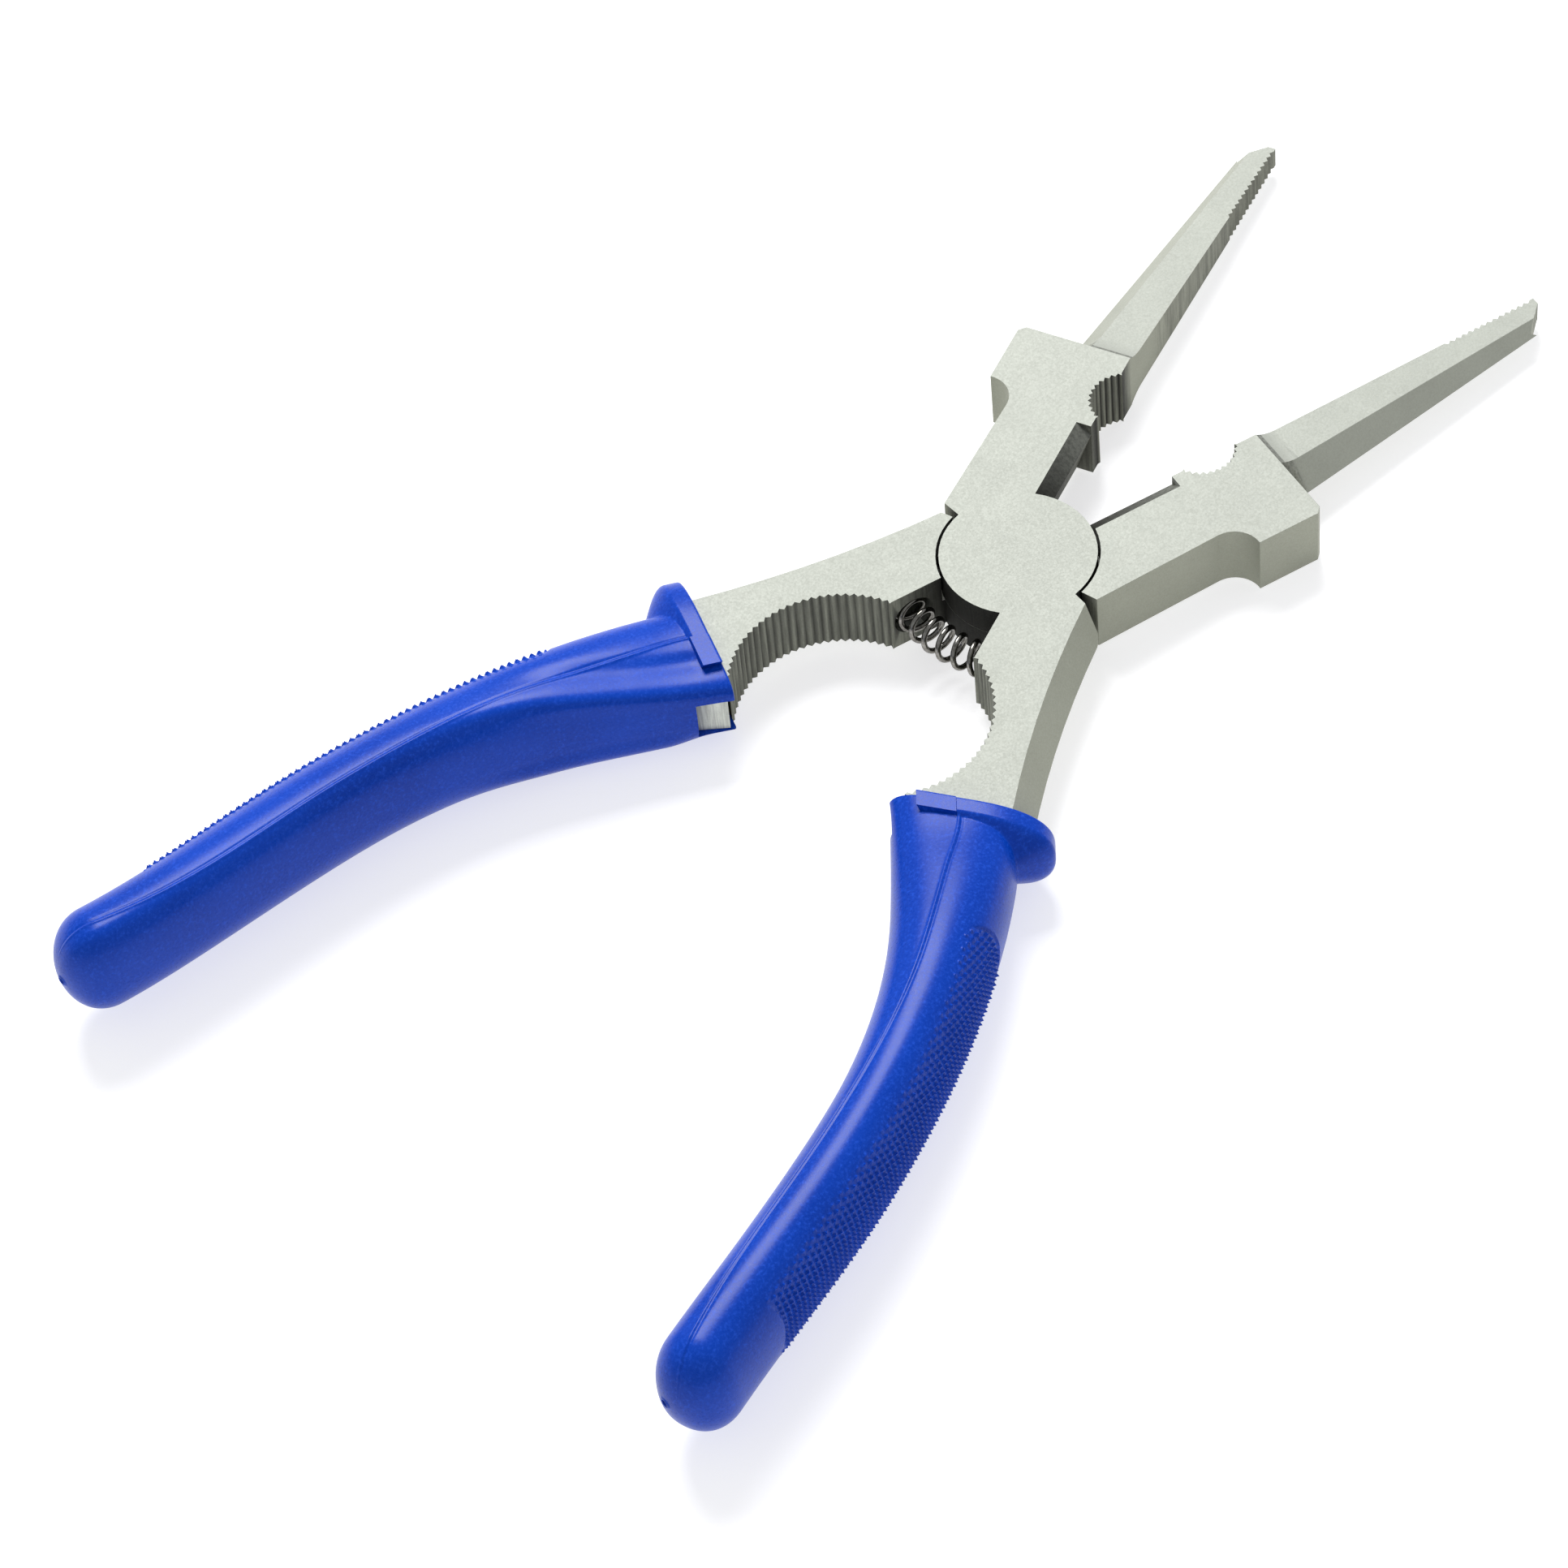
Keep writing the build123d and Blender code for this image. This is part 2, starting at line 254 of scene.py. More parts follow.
def noise(tree, place, scale, detail=3.0, roughness=0.6):
    node = add_node(
        tree, "ShaderNodeTexNoise", Vector=place, Scale=scale, Detail=detail, Roughness=roughness
    )
    return node, 0


def bump(tree, height, strength, distance, **under):
    node = add_node(tree, "ShaderNodeBump", Height=height, Strength=strength, Distance=distance, **under)
    return node, 0


def start_material(name):
    """A new material with its node tree, its shader and its texture coordinates."""
    material = bpy.data.materials.new(name)
    material.use_nodes = True
    tree = material.node_tree
    coordinates = tree.nodes.new("ShaderNodeTexCoord")
    return material, tree, tree.nodes["Principled BSDF"], coordinates


def steel_material():
    """Bead-blasted steel: paler on the flats turned up and down, darker olive grey on the upright sides."""
    material, tree, shader, coordinates = start_material("blasted_steel")
    place = (coordinates, "Object")
    grain = noise(tree, place, 3600.0, 3.0, 0.75)
    cloud = noise(tree, place, 160.0)
    pits = noise(tree, place, 1300.0, 2.0)
    tall = add_node(tree, "ShaderNodeMapping", Vector=place, Scale=STREAK_STRETCH)
    streak = noise(tree, (tall, 0), 1900.0, 3.0, 0.7)

    facing = add_node(tree, "ShaderNodeSeparateXYZ", Vector=(coordinates, "Normal"))
    flat = ramp(tree, arithmetic(tree, "ABSOLUTE", (facing, "Z")), (0.45, 0), (0.93, 1))
    # painted shade read from the mesh: darker in hollows, tooth valleys and walls in shadow, below 0 on
    # freshly machined faces
    shade_attribute = tree.nodes.new("ShaderNodeAttribute")
    shade_attribute.attribute_name = "shade"
    shade = (shade_attribute, "Fac")
    fresh = ramp(tree, arithmetic(tree, "MULTIPLY", shade, -1.0), (0.3, 0), (0.8, 1))
    worked = ramp(tree, arithmetic(tree, "ABSOLUTE", shade), (0.05, 0), (0.1, STREAKS))

    plain = mixed(tree, flat, STEEL_SIDES, STEEL_FLATS)
    machined = mixed(tree, fresh, plain, STEEL_MACHINED)
    shaded = mixed(tree, ramp(tree, shade, (0.0, 0), (1.0, 1)), machined, STEEL_IN_SHADE)
    speck = mixed(tree, ramp(tree, grain, (0.33, 0), (0.6, 1)), STEEL_SPECK, WHITE)
    spotted = mixed(tree, SPECKS, shaded, speck, "MULTIPLY")
    patchy = mixed(tree, PATCHES, spotted, ramp(tree, cloud, (0.3, 0.6), (0.65, 1)), "MULTIPLY")
    streaky = mixed(tree, worked, patchy, ramp(tree, streak, (0.38, 0.56), (0.6, 1)), "MULTIPLY")

    fine = bump(tree, grain, 0.3, 0.00003)
    coarse = bump(tree, pits, 0.07, 0.00004, Normal=fine)
    rough = ramp(tree, grain, (0.3, 0.8), (0.7, 0.68))
    fill(tree, shader, Base_Color=streaky, Metallic=0.6, Roughness=rough, Normal=coarse)
    return material


def spring_material():
    """Dark polished spring wire with fine drawing marks."""
    material, tree, shader, coordinates = start_material("spring_wire")
    marks = noise(tree, (coordinates, "Object"), 1800.0)
    tone = mixed(tree, ramp(tree, marks, (0.35, 0), (0.65, 1)), WIRE_DARK, WIRE_LIGHT)
    rough = ramp(tree, marks, (0.3, 0.12), (0.7, 0.19))
    drawn = bump(tree, marks, 0.2, 0.00002)
    fill(tree, shader, Base_Color=tone, Metallic=1.0, Roughness=rough, Normal=drawn)
    return material


def grip_material():
    """Royal blue moulded plastic: a fine spark-eroded grain with a soft gloss."""
    material, tree, shader, coordinates = start_material("blue_grip_plastic")
    place = (coordinates, "Object")
    grain = noise(tree, place, 2300.0, 4.0, 0.7)
    cloud = noise(tree, place, 60.0, 2.0)
    tone = mixed(tree, ramp(tree, cloud, (0.35, 0), (0.7, 1)), BLUE_DARK, BLUE_LIGHT)
    speck = mixed(tree, ramp(tree, grain, (0.5, 0), (0.72, 1)), tone, BLUE_SPECK)
    rough = ramp(tree, grain, (0.3, 0.25), (0.7, 0.35))
    fine = bump(tree, grain, 0.4, 0.00003)
    wave = bump(tree, cloud, 0.12, 0.0006, Normal=fine)
    fill(tree, shader, Base_Color=speck, IOR=1.42, Specular_IOR_Level=0.2, Roughness=rough, Normal=wave)
    return material


def floor_material():
    """Plain pale paper."""
    material, tree, shader, coordinates = start_material("pale_paper")
    fibre = noise(tree, (coordinates, "Object"), 90.0)
    tone = mixed(tree, fibre, PAPER_DARK, PAPER_LIGHT)
    fill(tree, shader, Base_Color=tone, Roughness=0.9, Specular_IOR_Level=0.1)
    fill(tree, shader, Emission_Color=PAPER_GLOW, Emission_Strength=FLOOR_GLOW)
    return material


steel = steel_material()
spring_steel = spring_material()
blue = grip_material()

# ---- forgings --------------------------------------------------------------------------------
NOZZLE_CENTRE = (-30.8, 5.45)
NOZZLE_BAND = (13.5, 15.4)      # radii that its teeth lie between
NOZZLE_SPAN = (-43.0, -17.0)    # the same along X
NOZZLE_CRESTS = 14.4
NOZZLE_DARKEST = 0.86
NOTCH_BOX = (25.5, 34.5, -0.2, 3.0)
NOTCH_HALF_CHORD = 4.35
NOTCH_DEPTH = 2.65
NOTCH_RADIUS = (NOTCH_HALF_CHORD**2 + NOTCH_DEPTH**2) / (2 * NOTCH_DEPTH)
NOTCH_CENTRE = (30.0, NOTCH_DEPTH - NOTCH_RADIUS)
NOTCH_CRESTS = NOTCH_RADIUS - 0.42
NOTCH_DARKEST = 1.0
CREST_SHADE = 0.12              # the crests of the teeth
VALLEY_FALL = 0.4               # depth over which a tooth darkens fully
TIP_TEETH_X = 68.0
TIP_SHADE = 0.35
NOSE_ROOT_X = 37.3
NOSE_SHADE = 0.045
ROOT_LENGTH = 2.6               # the hollow where a nose meets its block
ROOT_SHADE = 0.5
LAP_REACH = 11.2                # the walls beside the round laps are dark
LAP_SHADE = 0.98
SEAT_X = (-17.5, -10.0)         # the wall that the spring sits in darkens towards the pivot
SEAT_Y = (-9.0, 0.0)
SEAT_SHADES = (0.3, 0.95)
CUTTER_END = 24.1
CUTTER_DEPTH = 2.6
CUTTER_SHADE = 0.55
TANG_STEP = (-42.4, -5.5)       # freshly machined behind and inside this corner
FLAT_FACE = 0.9                 # a face turned up or down at least this much is a flat
SHARP_ANGLE = math.radians(20)
LONG_EDGE = 2.2
EDGE_ROUND = 0.24


def from_nozzle(x, y):
    return math.hypot(x - NOZZLE_CENTRE[0], y - NOZZLE_CENTRE[1])


def in_notch(x, y):
    return NOTCH_BOX[0] < x < NOTCH_BOX[1] and NOTCH_BOX[2] < y < NOTCH_BOX[3]


def in_teeth(point, side):
    """Whether a point lies on one of the three rows of teeth."""
    x, y, _ = to_closing(point, side)
    if NOZZLE_BAND[0] < from_nozzle(x, y) < NOZZLE_BAND[1] and x < NOZZLE_SPAN[1] and y < 0:
        return True
    return in_notch(x, y) or (x > TIP_TEETH_X and y < 0.5)


def tooth_shade(behind_crests, darkest):
    return min(max(behind_crests / VALLEY_FALL, CREST_SHADE), darkest)


def shade_at(point, normal, side):
    """How dark a face is at one corner: 0 plain, 1 the valley of a tooth, below 0 freshly machined."""
    x, y, z = to_closing(point, side)
    if abs(normal.z) > FLAT_FACE:
        return NOSE_SHADE if x > NOSE_ROOT_X + 0.2 and z > MID else 0.0
    if NOSE_ROOT_X < x < NOSE_ROOT_X + ROOT_LENGTH and abs(normal.z) > 0.2:
        return ROOT_SHADE * (1 - (x - NOSE_ROOT_X) / ROOT_LENGTH)
    in_band = NOZZLE_BAND[0] < from_nozzle(x, y) < NOZZLE_BAND[1]
    if in_band and NOZZLE_SPAN[0] < x < NOZZLE_SPAN[1] and y < 0:
        return tooth_shade(from_nozzle(x, y) - NOZZLE_CRESTS, NOZZLE_DARKEST)
    if in_notch(x, y):
        from_notch = math.hypot(x - NOTCH_CENTRE[0], y - NOTCH_CENTRE[1])
        return tooth_shade(from_notch - NOTCH_CRESTS, NOTCH_DARKEST)
    if math.hypot(x, y) < LAP_REACH:
        return LAP_SHADE
    if SEAT_X[0] < x < SEAT_X[1] and SEAT_Y[0] < y < SEAT_Y[1]:
        share = (x - SEAT_X[0]) / (SEAT_X[1] - SEAT_X[0])
        return SEAT_SHADES[0] + (SEAT_SHADES[1] - SEAT_SHADES[0]) * share
    if x > TIP_TEETH_X and y < -0.6:
        return TIP_SHADE
    if 0 < x < CUTTER_END and y < CUTTER_DEPTH:
        return CUTTER_SHADE
    if x < TANG_STEP[0] and y > TANG_STEP[1]:
        return -1.0
    return 0.0


def round_long_edges(bm, side):
    """Rounds the sharp edges that are long and lie clear of the teeth."""
    edges = []
    for edge in bm.edges:
        sharp = len(edge.link_faces) == 2 and edge.calc_face_angle(0) > SHARP_ANGLE
        long = edge.calc_length() > LONG_EDGE * MM
        if sharp and long and not any(in_teeth(v.co, side) for v in edge.verts):
            edges.append(edge)
    bmesh.ops.bevel(
        bm, geom=edges, offset=EDGE_ROUND * MM, offset_type="OFFSET", segments=2, profile=0.6,
        affect="EDGES", clamp_overlap=True,
    )


def forged(node_name, side, body):
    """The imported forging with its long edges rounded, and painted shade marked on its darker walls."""
    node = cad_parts[node_name]
    bm = bmesh.new()
    bm.from_mesh(node.data)
    bm.transform(node.matrix_world)
    bmesh.ops.remove_doubles(bm, verts=bm.verts, dist=1e-7)
    bmesh.ops.dissolve_limit(bm, angle_limit=math.radians(0.5), verts=bm.verts, edges=bm.edges)
    round_long_edges(bm, side)
    bmesh.ops.recalc_face_normals(bm, faces=bm.faces)
    mesh = bpy.data.meshes.new(node_name + "_finished")
    bm.to_mesh(mesh)
    bm.free()
    shades = mesh.attributes.new("shade", "FLOAT", "CORNER")
    for face in mesh.polygons:
        for corner in face.loop_indices:
            place = mesh.vertices[mesh.loops[corner].vertex_index].co
            shades.data[corner].value = shade_at(place, face.normal, side)
    mesh.materials.append(steel)
    smooth_but_sharp(mesh, 32)
    obj = bpy.data.objects.new(node_name + "_finished", mesh)
    bpy.context.scene.collection.objects.link(obj)
    normals = obj.modifiers.new("face_weighted_normals", "WEIGHTED_NORMAL")
    normals.keep_sharp = True
    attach(obj, body)
    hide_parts(node_name)


forged("upper_lever_forging", "upper", "upper_half")
forged("lower_lever_forging", "lower", "lower_half")
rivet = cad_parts["pivot_rivet"]
rivet.data.materials.clear()
rivet.data.materials.append(steel)

# ---- spring ----------------------------------------------------------------------------------
COIL_RADIUS = 2.1
WIRE_RADIUS = 0.4
BOW_RADIUS = 21.6
BOW_CENTRE_X = 6.8
BOW_HALF_LENGTH = 6.45
SEATED_LENGTH = 2.1
COIL_PITCH = 2.3
SPRING_PHASE = math.radians(90)
STEPS_PER_TURN = 44
WIRE_SIDES = 14


def bowed_helix(length):
    """Points of the coil at each distance along its bowed middle line."""
    held = np.clip(length, -BOW_HALF_LENGTH, BOW_HALF_LENGTH)
    turn = held / BOW_RADIUS
    beyond = length - held
    middle = np.stack([
        BOW_CENTRE_X - BOW_RADIUS * np.cos(turn) + beyond * np.sin(turn),
        BOW_RADIUS * np.sin(turn) + beyond * np.cos(turn),
        np.full_like(length, MID),
    ], axis=1)
    outward = np.stack([-np.cos(turn), np.sin(turn), np.zeros_like(length)], axis=1)
    phase = 2 * math.pi * length / COIL_PITCH + SPRING_PHASE
    upward = np.array([0, 0, 1.0])
    return middle + COIL_RADIUS * (np.cos(phase)[:, None] * outward + np.sin(phase)[:, None] * upward)


def spring():
    """The bowed return spring, whose ends ride on the two levers."""
    reach = BOW_HALF_LENGTH + SEATED_LENGTH
    count = int(2 * reach / COIL_PITCH * STEPS_PER_TURN)
    length = np.linspace(-reach, reach, count)
    path = bowed_helix(length)
    ahead = np.gradient(path, axis=0)
    ahead /= np.linalg.norm(ahead, axis=1)[:, None]
    inward = bowed_helix(length + COIL_PITCH / 2) / 2 + bowed_helix(length - COIL_PITCH / 2) / 2 - path
    side = inward - (inward * ahead).sum(axis=1)[:, None] * ahead
    side /= np.linalg.norm(side, axis=1)[:, None]
    third = np.cross(ahead, side)
    verts = []
    for k in range(count):
        for j in range(WIRE_SIDES):
            a = 2 * math.pi * j / WIRE_SIDES
            verts.append(path[k] + WIRE_RADIUS * (math.cos(a) * side[k] + math.sin(a) * third[k]))
    faces = tube_faces(count, WIRE_SIDES)
    obj = new_object("bowed_return_spring", np.array(verts) * MM, faces, spring_steel)
    smooth_but_sharp(obj.data, 50)
    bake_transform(obj)
    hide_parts("return_spring")


spring()

# ---- grips: the middle line and the section --------------------------------------------------
# s is the distance behind the mouth, and u the distance from the middle line to the inner side
MOUTH = (-41.5, -9.2)
MOUTH_TILT = math.radians(10)
MOUTH_TURN = 14                 # distance over which the section turns from the mouth to the line
GRIP_LINES = {                  # x and y of points along the grip's middle, from the mouth to the butt
    "upper": (
        (-41.5, -9.3), (-46, -11.2), (-64, -17.3), (-82, -19.8),
        (-100, -19.1), (-118, -17.4), (-135.5, -15.5),
    ),
    "lower": (
        (-41.5, -9.1), (-46, -10.3), (-64, -14.9), (-82, -16.8),
        (-100, -15.2), (-118, -12.9), (-136.9, -11.4),
    ),
}
HALF_WIDTHS = ((0, 8.75), (5, 8.35), (14, 7.6), (24, 6.75), (43, 5.9), (61, 5.85), (80, 5.6), (97, 5.6))
TOP_HEIGHTS = ((0, 5.45), (5, 5.85), (12, 6.8), (22, 7.8), (34, 8.15), (97, 8.15))
BOTTOM_HEIGHTS = ((0, 6.3), (5, 6.9), (12, 7.6), (22, 8.0), (34, 8.15), (97, 8.15))
BODY_POWERS = ((0, 3.0), (8, 2.7), (30, 2.2), (97, 2.2))
CREST = {                       # how far the top's high line leans inwards
    "upper": ((0, 0.0), (6, 0.0), (16, -0.1), (34, -0.3), (80, -0.3), (97, 0.0)),
    "lower": ((0, 0.0), (6, 0.3), (16, 1.1), (34, 2.3), (80, 2.3), (97, 1.6)),
}
FRONT_ROUND = 0.35
BUTT_ROUND = 6.2
BUTT_POWER = 2.15
BUTT_LEAST = 1e-4               # share of the section left at the very end

# ---- grips: collar and key block -------------------------------------------------------------
COLLAR_CENTRE = {"upper": -2.5, "lower": -2.7}
COLLAR_HALF_SPAN = {"upper": 10.9, "lower": 11.2}
COLLAR_TOP = 6.15
COLLAR_BOTTOM = 7.2
COLLAR_POWER = 2.5
RIM_LENGTH = 2.1
DROP_LENGTH = 0.35              # behind the rim the collar falls to the body over this length
DROP_SHARE = 0.85               # and this share of its own height
KEY_SIDES = (-0.6, 4.75)
KEY_LENGTH = 2.75
KEY_TOP = 6.3

# ---- grips: swell, ridge, parting line, gate mark and slot -----------------------------------
LOWER_SWELL = 0.6               # the lower inner side stands a little proud of the upper
RIDGE_HEIGHT = 0.8              # a ridge runs from the high line down to the mouth's inner corner
RIDGE_ANGLES = ((0, 30), (6, 33), (16, 44), (28, 60), (42, 74), (97, 74))
RIDGE_WIDTH = math.radians(12)
VALLEY_DEPTH = 0.55
VALLEY_LEAD = math.radians(29)
VALLEY_WIDTH = math.radians(15)
SEAM = {                        # the parting line on the top, as s and u
    "upper": ((0, -0.9), (3, -0.9), (12, 0.5), (30, 1.6), (55, 2.5), (80, 2.1), (97, 0.2)),
    "lower": ((0, -0.9), (3, -0.9), (12, 0.6), (30, 2.2), (55, 3.2), (80, 2.7), (97, 0.2)),
}
SEAM_WIDTH = 0.21
SEAM_HEIGHT = 0.11
SEAM_GROOVE = 0.08
GROOVE_LEAD = 1.9               # the groove lies this many widths beside the line
PIP_Y = {"upper": -13.4, "lower": -10.4}
PIP_START = -128.0
PIP_REACH = 1.2
PIP_RING = 0.16
PIP_RING_RADIUS = 0.62
PIP_RING_WIDTH = 0.16
PIP_HOLE = 0.22
PIP_HOLE_RADIUS = 0.42
LIP_REACH = 8.6
SLOT_DEPTH = 3.9
SLOT_S = (-1.0, 5.1)
SLOT_U = (LIP_REACH - SLOT_DEPTH, 14.0)
SLOT_V = (0.5 - MID, 7.3 - MID)

# ---- grips: knurl and mesh -------------------------------------------------------------------
KNURL_LENGTH = 2.03             # the knurl repeats along the grip, and across it
KNURL_WIDTH = 1.02
KNURL_ROWS = 12                 # mesh rows and columns in one repeat
KNURL_COLUMNS = 8
KNURL_HEIGHT = 0.55
KNURL_RECESS = 0.3
KNURL_START = 19.6
KNURL_END = 80.0
KNURL_LOWER = 15.5              # its lower edge, measured round the section from the top line
KNURL_INNER = {                 # its upper edge, measured the same way, at each s
    "upper": ((17, 3.0), (30, 3.0), (48, 3.2), (66, 3.0), (82, 3.6)),
    "lower": ((17, 3.4), (30, 3.2), (48, 3.2), (66, 3.2), (82, 3.6)),
}
KNURL_BOWS = (3.4, 2.6)         # how far its front end bows in, and its back end out, at the corners
PYRAMID_LENGTH = 0.40           # half lengths of a pyramid's base
PYRAMID_WIDTH = 0.37
FINE_STEP = KNURL_LENGTH / KNURL_ROWS
FINE_COLUMN = KNURL_WIDTH / KNURL_COLUMNS
FINE_ZONE = (2.0, 17.0)         # columns are close together here, from the top line to the outer side
COARSE_COLUMN = 0.24
SEAM_BAND = 6.4                 # and here, towards the inner side
SEAM_COLUMN = 0.1
COLLAR_STEP = 0.17
COLLAR_ROWS_END = 8.2
PLAIN_STEP = 0.5
MEAN_OVAL = (0.0, 6.4, 7.6, 7.6, 2.4)


def grip_line(side):
    """Even samples along the grip's middle line: distance and place."""
    knots = np.array(GRIP_LINES[side], float)
    bend = np.polyfit(knots[:, 0], knots[:, 1], 4)
    x = np.linspace(knots[0, 0], knots[-1, 0], 2000)
    y = np.polyval(bend, x)
    step = np.hypot(np.diff(x), np.diff(y))
    distance = np.concatenate([[0], np.cumsum(step)])
    return distance, np.stack([x, y], axis=1)


def rows_along(length):
    """Distances along the grip where its surface is sampled, close together where there is detail."""
    parts = [
        np.linspace(0, FRONT_ROUND, 5),
        np.arange(FRONT_ROUND + 0.2, COLLAR_ROWS_END, COLLAR_STEP),
        np.arange(COLLAR_ROWS_END + 0.2, KNURL_START - 3.2, PLAIN_STEP),
        KNURL_START + FINE_STEP * np.arange(-14, int((KNURL_END - KNURL_START + 3) / FINE_STEP)),
        np.arange(KNURL_END + 3.3, length - BUTT_ROUND, PLAIN_STEP),
        length - BUTT_ROUND * (1 - np.sin(np.linspace(0, math.pi / 2, 64))),
    ]
    return np.unique(np.round(np.concatenate(parts), 4))


def columns_around():
    """Angles round the section where the surface is sampled, and each one's step over the knurl or -1."""
    angle = np.linspace(0, 2 * math.pi, 2048, endpoint=False)
    oval = oval_radius(angle, *MEAN_OVAL)
    outline = np.stack([oval * np.cos(angle), oval * np.sin(angle)], axis=1)
    run = np.hypot(*(np.roll(outline, -1, axis=0) - outline).T)
    reach = np.concatenate([[0], np.cumsum(run)])
    top_reach = np.interp(math.pi / 2, angle, reach[:-1])
    fine = np.arange(top_reach + FINE_ZONE[0], top_reach + FINE_ZONE[1], FINE_COLUMN)
    whole = fine[0] + reach[-1]
    coarse = np.arange(fine[-1] + COARSE_COLUMN, whole - SEAM_BAND, COARSE_COLUMN)
    near_seam = np.arange(coarse[-1] + SEAM_COLUMN, whole - SEAM_COLUMN / 2, SEAM_COLUMN)
    placed = np.concatenate([fine, coarse, near_seam])
    theta = np.interp(placed % reach[-1], reach, np.append(angle, 2 * math.pi))
    steps_across = np.full(len(placed), -1)
    steps_across[: len(fine)] = np.arange(len(fine))
    return theta, steps_across


def body_and_collar(side, s, th):
    """Radius of the oval body, with the collar falling to it behind the rim."""
    cos_t, sin_t = np.cos(th), np.sin(th)
    height = np.where(sin_t > 0, spread(TOP_HEIGHTS, s), spread(BOTTOM_HEIGHTS, s))
    crest = np.where(sin_t > 0, spread(CREST[side], s), 0.0)
    body = leaning_radius(th, crest, spread(HALF_WIDTHS, s), height, spread(BODY_POWERS, s))
    collar = oval_radius(
        th[:1], COLLAR_CENTRE[side], COLLAR_HALF_SPAN[side], COLLAR_TOP, COLLAR_BOTTOM, COLLAR_POWER
    )
    u = body * cos_t
    on_outer_side = np.where(sin_t > 0, 1 - smooth(3.2, 4.6, u), 1 - smooth(6.5, 8.5, u))
    flange = np.maximum(collar - body, 0) * on_outer_side
    drop_end = RIM_LENGTH + DROP_LENGTH + DROP_SHARE * flange
    t = np.clip((s - RIM_LENGTH) / (drop_end - RIM_LENGTH), 0, 1)
    return body + flange * (1 - t**1.8) ** 1.3


def swell(s, th):
    lower_inner = (np.sin(th) < 0) * smooth(0.2, 0.8, np.cos(th)) * smooth(-0.2, -0.6, np.sin(th))
    return LOWER_SWELL * lower_inner * smooth(3, 9, s) * (1 - smooth(24, 40, s))


def ridge_and_valley(s, th):
    off_ridge = th - np.radians(spread(RIDGE_ANGLES, s))
    ridge = RIDGE_HEIGHT * (1 - smooth(16, 46, s)) * np.exp(-((off_ridge / RIDGE_WIDTH) ** 2))
    depth = VALLEY_DEPTH * smooth(0, 4, s) * (1 - smooth(12, 34, s))
    return ridge - depth * np.exp(-(((off_ridge - VALLEY_LEAD) / VALLEY_WIDTH) ** 2))


def with_key(radius, s, th):
    """Adds the raised block on top of the collar."""
    key = KEY_TOP / np.maximum(np.sin(th), 0.2)
    u = key * np.cos(th)
    on_key = (np.sin(th) > 0.3) & (u > KEY_SIDES[0]) & (u < KEY_SIDES[1]) & (s < KEY_LENGTH)
    return np.where(on_key, np.maximum(radius, key), radius)


def seam(side, s, th, u):
    """The parting line on the top: a fine raised line with a shallow groove beside it."""
    off = (u - spread(SEAM[side], s)) / SEAM_WIDTH
    line = SEAM_HEIGHT * np.exp(-off**2) - SEAM_GROOVE * np.exp(-(off + GROOVE_LEAD) ** 2)
    return np.where((np.sin(th) > 0) & (s > KEY_LENGTH), line, 0)


def knurl(side, s, across, steps_across):
    """Height of the knurled patch over the plain surface: a shallow recess full of small pyramids."""
    inner = KNURL_INNER[side]
    depth_in = np.minimum(across - spread(inner, s), KNURL_LOWER - across)
    middle = (spread(inner, (KNURL_START + KNURL_END) / 2) + KNURL_LOWER) / 2
    half = KNURL_LOWER - middle
    bow = 1 - np.sqrt(np.clip(1 - ((across - middle) / (half * 1.04)) ** 2, 0, 1))
    from_ends = np.minimum(s - KNURL_START - KNURL_BOWS[0] * bow, KNURL_END + KNURL_BOWS[1] * bow - s)
    recess = smooth(0.0, 0.2, from_ends) * smooth(0.5, 3.5, depth_in)
    row = (s - KNURL_START) / FINE_STEP / KNURL_ROWS
    column = steps_across / KNURL_COLUMNS
    pyramid = np.zeros_like(row * column)
    for shift in (0.0, 0.5):
        off_row = np.abs(row + shift - np.round(row + shift)) * KNURL_LENGTH / PYRAMID_LENGTH
        off_column = np.abs(column + shift - np.round(column + shift)) * KNURL_WIDTH / PYRAMID_WIDTH
        pyramid = np.maximum(pyramid, 1 - off_row - off_column)
    points = smooth(0.25, 0.8, from_ends) * smooth(-0.2, 1.6, depth_in)
    return np.where(steps_across >= 0, KNURL_HEIGHT * points * pyramid - KNURL_RECESS * recess, 0)


def skin_radius(side, s, th, steps_across, length):
    """Radius of the finished skin at every s and angle."""
    radius = body_and_collar(side, s, th) + swell(s, th)
    if side == "lower":
        radius = radius + ridge_and_valley(s, th)
    u = radius * np.cos(th)
    radius = with_key(radius, s, th) + seam(side, s, th, u)

    # distance round the section from the top line towards the outer side
    v = radius * np.sin(th)
    steps = np.hypot(np.diff(u, axis=1, append=u[:, :1]), np.diff(v, axis=1, append=v[:, :1]))
    across = FINE_ZONE[0] + (np.cumsum(steps, axis=1) - steps)
    radius = radius + knurl(side, s, across, steps_across)

    to_front = np.clip(FRONT_ROUND - s, 0, FRONT_ROUND)
    radius = radius - (FRONT_ROUND - np.sqrt(FRONT_ROUND**2 - to_front**2))
    into_butt = np.clip((s - (length - BUTT_ROUND)) / BUTT_ROUND, 0, 1)
    return radius * np.maximum(np.sqrt(1 - into_butt**BUTT_POWER), BUTT_LEAST)


def headings(distance, line, along):
    """Direction of the middle line at each row, turned to meet the mouth squarely."""
    slope_x = np.gradient(line[:, 0], distance)
    slope_y = np.gradient(line[:, 1], distance)
    heading = np.unwrap(np.arctan2(np.interp(along, distance, slope_y), np.interp(along, distance, slope_x)))
    at_mouth = MOUTH_TILT - math.pi - heading[0]
    return heading + at_mouth * (1 - smooth(0, MOUTH_TURN, along))


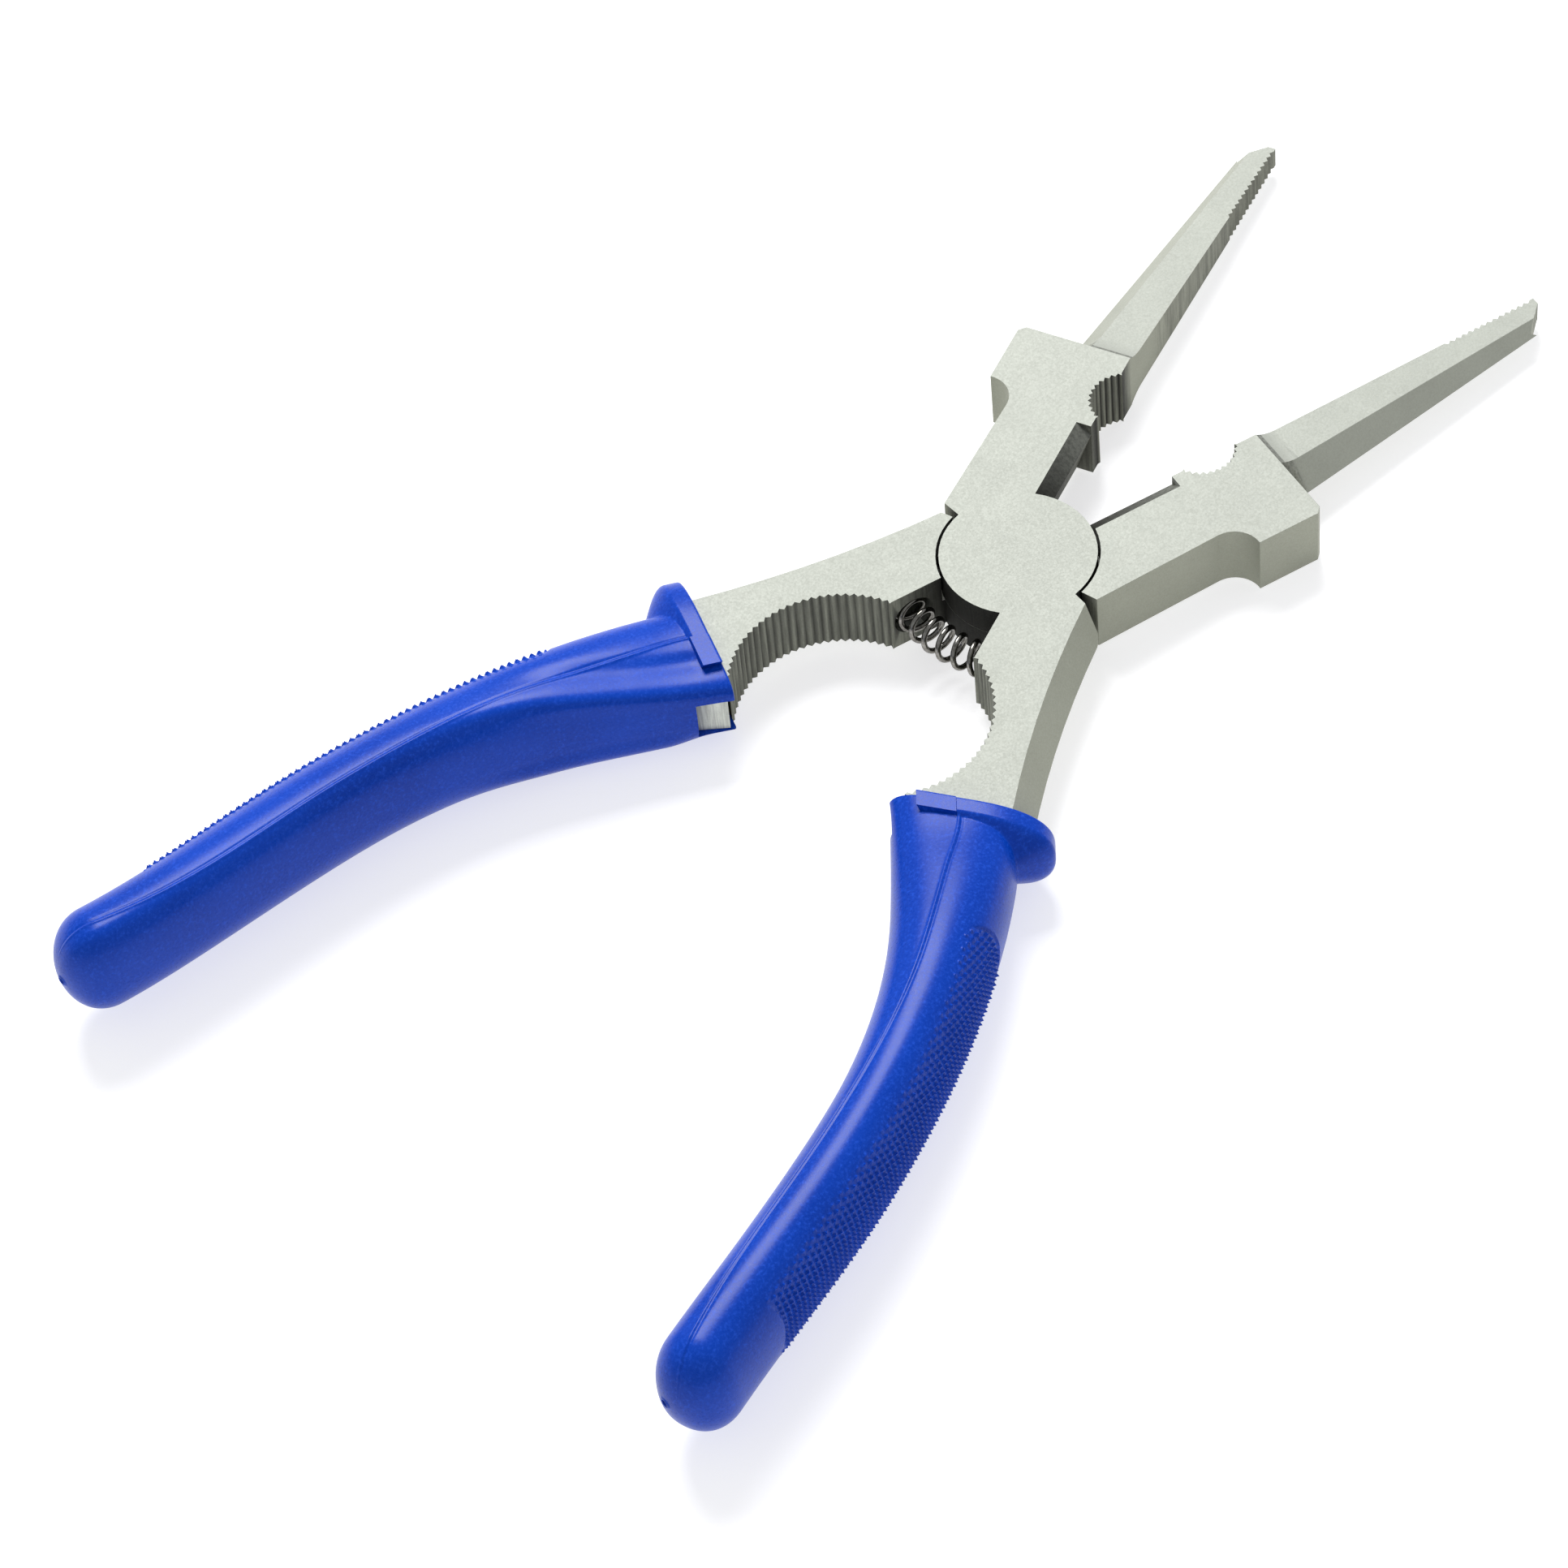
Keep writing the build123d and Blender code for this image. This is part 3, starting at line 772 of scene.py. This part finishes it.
def pip(points, side):
    """The small ring left by the mould's gate on the butt, as a push along the grip."""
    away = np.hypot(points[..., 1] - PIP_Y[side], points[..., 2] - MID)
    near = (points[..., 0] < PIP_START) & (away < PIP_REACH)
    ring = PIP_RING * np.exp(-(((away - PIP_RING_RADIUS) / PIP_RING_WIDTH) ** 2))
    push = ring - PIP_HOLE * (away < PIP_HOLE_RADIUS)
    out = np.zeros_like(points)
    out[..., 0] = np.where(near, -push, 0)
    return out


def cut_slot(obj, side):
    """Opens the slot between the two inner lips, down to the steel."""
    back = np.array([-math.cos(MOUTH_TILT), -math.sin(MOUTH_TILT)])
    inward = np.array([-math.sin(MOUTH_TILT), math.cos(MOUTH_TILT)])
    corners = []
    for s in SLOT_S:
        for u in SLOT_U:
            for v in SLOT_V:
                place = np.array(MOUTH) + back * s + inward * u
                corners.append((place[0], place[1], MID + v))
    faces = [(0, 1, 3, 2), (4, 6, 7, 5), (0, 4, 5, 1), (2, 3, 7, 6), (0, 2, 6, 4), (1, 5, 7, 3)]
    cutter = new_object("slot_cutter", to_rest(corners, side), faces, blue)
    close_up(cutter.data)
    cut = obj.modifiers.new("slot", "BOOLEAN")
    cut.operation = "DIFFERENCE"
    cut.solver = "EXACT"
    cut.object = cutter
    graph = bpy.context.evaluated_depsgraph_get()
    finished = bpy.data.meshes.new_from_object(obj.evaluated_get(graph))
    obj.modifiers.clear()
    obj.data = finished
    bpy.data.objects.remove(cutter, do_unlink=True)


def grip(side, body):
    """A grip as one closed skin: collar with a rim and a key block, oval body, knurled patch, round butt."""
    distance, line = grip_line(side)
    along = rows_along(distance[-1])
    theta, steps_across = columns_around()
    s, th = np.meshgrid(along, theta, indexing="ij")
    radius = skin_radius(side, s, th, steps_across, distance[-1])
    heading = headings(distance, line, along)[:, None]
    u = radius * np.cos(th)
    points = np.stack([
        np.interp(s, distance, line[:, 0]) + u * np.sin(heading),
        np.interp(s, distance, line[:, 1]) - u * np.cos(heading),
        MID + radius * np.sin(th),
    ], axis=2)
    points = points + pip(points, side)
    verts = to_rest(points.reshape(-1, 3), side)
    obj = new_object(side + "_grip_moulding", verts, tube_faces(len(along), len(theta)), blue)
    close_up(obj.data)
    cut_slot(obj, side)
    smooth_but_sharp(obj.data, 38)
    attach(obj, body)
    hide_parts(side + "_lever_grip")
    return obj


upper_grip = grip("upper", "upper_half")
lower_grip = grip("lower", "lower_half")

# ---- camera and studio -----------------------------------------------------------------------
LOOK_AZIMUTH = math.radians(42.77)  # the view runs along +X and +Y at this angle from +Y
LOOK_DOWN = math.radians(51.14)
CAMERA_ROLL = math.radians(-6.22)
CAMERA_PLACE = Vector((-390.2, -371.9, 634.1)) * MM
SENSOR = 36.0
LENS = 143.84
JAW_REST_X = 36.0               # the floor touches the jaws' lower corners here
FLOOR_HALF = 3.0
FLOOR_GAP = 0.02
SOFTBOX_PLACE = (0.30, 0.47, 0.80)
SOFTBOX_POWER = 11.0
SOFTBOX_SIZE = (0.48, 0.42)
SKY_COLOUR = (0.95, 0.97, 1.0)
SKY_STRENGTH = 0.55


def add_camera():
    """A long lens that looks down at the pliers from beyond the butts."""
    right = Vector((math.cos(LOOK_AZIMUTH), -math.sin(LOOK_AZIMUTH), 0))
    ahead = Vector((math.sin(LOOK_AZIMUTH), math.cos(LOOK_AZIMUTH), 0))
    up = ahead * math.sin(LOOK_DOWN) + Vector((0, 0, math.cos(LOOK_DOWN)))
    x_axis = right * math.cos(CAMERA_ROLL) + up * math.sin(CAMERA_ROLL)
    y_axis = up * math.cos(CAMERA_ROLL) - right * math.sin(CAMERA_ROLL)
    axes = Matrix((x_axis, y_axis, x_axis.cross(y_axis))).transposed()
    camera = bpy.data.objects.new("camera", bpy.data.cameras.new("camera"))
    camera.data.sensor_width = SENSOR
    camera.data.lens = LENS
    camera.data.clip_start = 0.01
    camera.data.clip_end = 20.0
    camera.matrix_world = Matrix.Translation(CAMERA_PLACE) @ axes.to_4x4()
    bpy.context.scene.collection.objects.link(camera)
    bpy.context.scene.camera = camera


def add_floor():
    """The floor leans a little, as the grips are thicker than the jaws."""
    slope = 0.0
    for obj in (upper_grip, lower_grip):
        for vertex in obj.data.vertices:
            place = obj.matrix_world @ vertex.co
            slope = max(slope, -place.z / (JAW_REST_X * MM - place.x))
    h = FLOOR_HALF
    corners = [(-h, -h, 0), (h, -h, 0), (h, h, 0), (-h, h, 0)]
    floor = new_object("floor", corners, [(0, 1, 2, 3)], floor_material())
    floor.rotation_euler = (0, -math.atan(slope), 0)
    floor.location = (JAW_REST_X * MM, 0, -FLOOR_GAP * MM)


def add_softbox():
    """The one lamp, turned towards the pivot."""
    light = bpy.data.lights.new("softbox", "AREA")
    light.energy = SOFTBOX_POWER
    light.shape = "RECTANGLE"
    light.size, light.size_y = SOFTBOX_SIZE
    obj = bpy.data.objects.new("softbox", light)
    obj.location = SOFTBOX_PLACE
    obj.rotation_euler = (-Vector(SOFTBOX_PLACE)).to_track_quat("-Z", "Y").to_euler()
    bpy.context.scene.collection.objects.link(obj)


def add_sky():
    world = bpy.data.worlds.new("studio")
    bpy.context.scene.world = world
    world.use_nodes = True
    fill(world.node_tree, world.node_tree.nodes["Background"], Color=SKY_COLOUR, Strength=SKY_STRENGTH)


add_camera()
add_floor()
add_softbox()
add_sky()
bpy.context.scene.view_settings.view_transform = "Standard"
